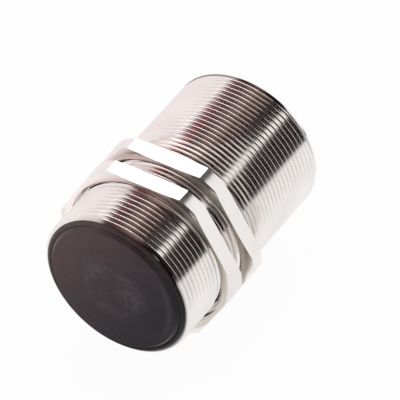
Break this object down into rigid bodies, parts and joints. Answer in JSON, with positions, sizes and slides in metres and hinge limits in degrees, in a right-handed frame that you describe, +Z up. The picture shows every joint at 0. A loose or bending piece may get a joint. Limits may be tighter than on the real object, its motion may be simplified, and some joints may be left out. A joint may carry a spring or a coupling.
{
  "type": "inductive distance sensor",
  "caption": "Threaded metal barrel with a flat black sensing face, thin hexagon lock nuts and a keyed plug connector at the rear.",
  "frame": {"origin": "centre of the flat sensing face", "axes": "+Y runs along the barrel from the sensing face to the plug, +Z is up, with a flat of each lock nut facing down"},
  "size_m": [0.0506, 0.0726, 0.046],
  "materials": {
    "nickel_plate": "bright nickel plating on turned brass",
    "black_plastic": "fine moulded grain",
    "black_rubber": "smooth rubber",
    "ferrite": "sintered, dull",
    "nylon": "natural nylon",
    "copper": "enamelled copper",
    "shield_brass": "rolled strip",
    "board": "solder mask on glass fibre",
    "chip_epoxy": "moulded epoxy",
    "can_metal": "drawn can",
    "gold_plate": "gold plating on brass"
  },
  "bodies": {
    "barrel": {"threaded_sleeve": "nickel_plate", "connector_shell": "nickel_plate", "connector_lock_nut": "nickel_plate", "sensing_cap": "black_plastic", "rear_end_cap": "black_plastic", "contact_carrier": "black_plastic", "front_seal_ring": "black_rubber", "rear_seal_ring": "black_rubber", "connector_gasket": "black_rubber", "ferrite_core": "ferrite", "filter_choke": "ferrite", "coil_bobbin": "nylon", "core_holder": "nylon", "coil_winding": "copper", "coil_lead_a": "copper", "coil_lead_b": "copper", "shield_ring": "shield_brass", "circuit_board": "board", "oscillator_chip": "chip_epoxy", "microcontroller": "chip_epoxy", "output_amplifier": "chip_epoxy", "voltage_regulator": "chip_epoxy", "protection_diode": "chip_epoxy", "filter_capacitor_1": "can_metal", "filter_capacitor_2": "can_metal", "filter_capacitor_3": "can_metal", "contact_pin_1": "gold_plate", "contact_pin_2": "gold_plate", "contact_pin_3": "gold_plate", "contact_pin_4": "gold_plate"},
    "front_nut": {"front_nut": "nickel_plate"},
    "rear_nut": {"rear_nut": "nickel_plate"}
  },
  "joints": [
    {"name": "front_nut_travel", "type": "slide", "parent": "barrel", "child": "front_nut", "axis": [0, 1, 0], "range_m": [-0.0112, 0.003]},
    {"name": "rear_nut_travel", "type": "slide", "parent": "barrel", "child": "rear_nut", "axis": [0, 1, 0], "range_m": [0, 0.032]}
  ]
}
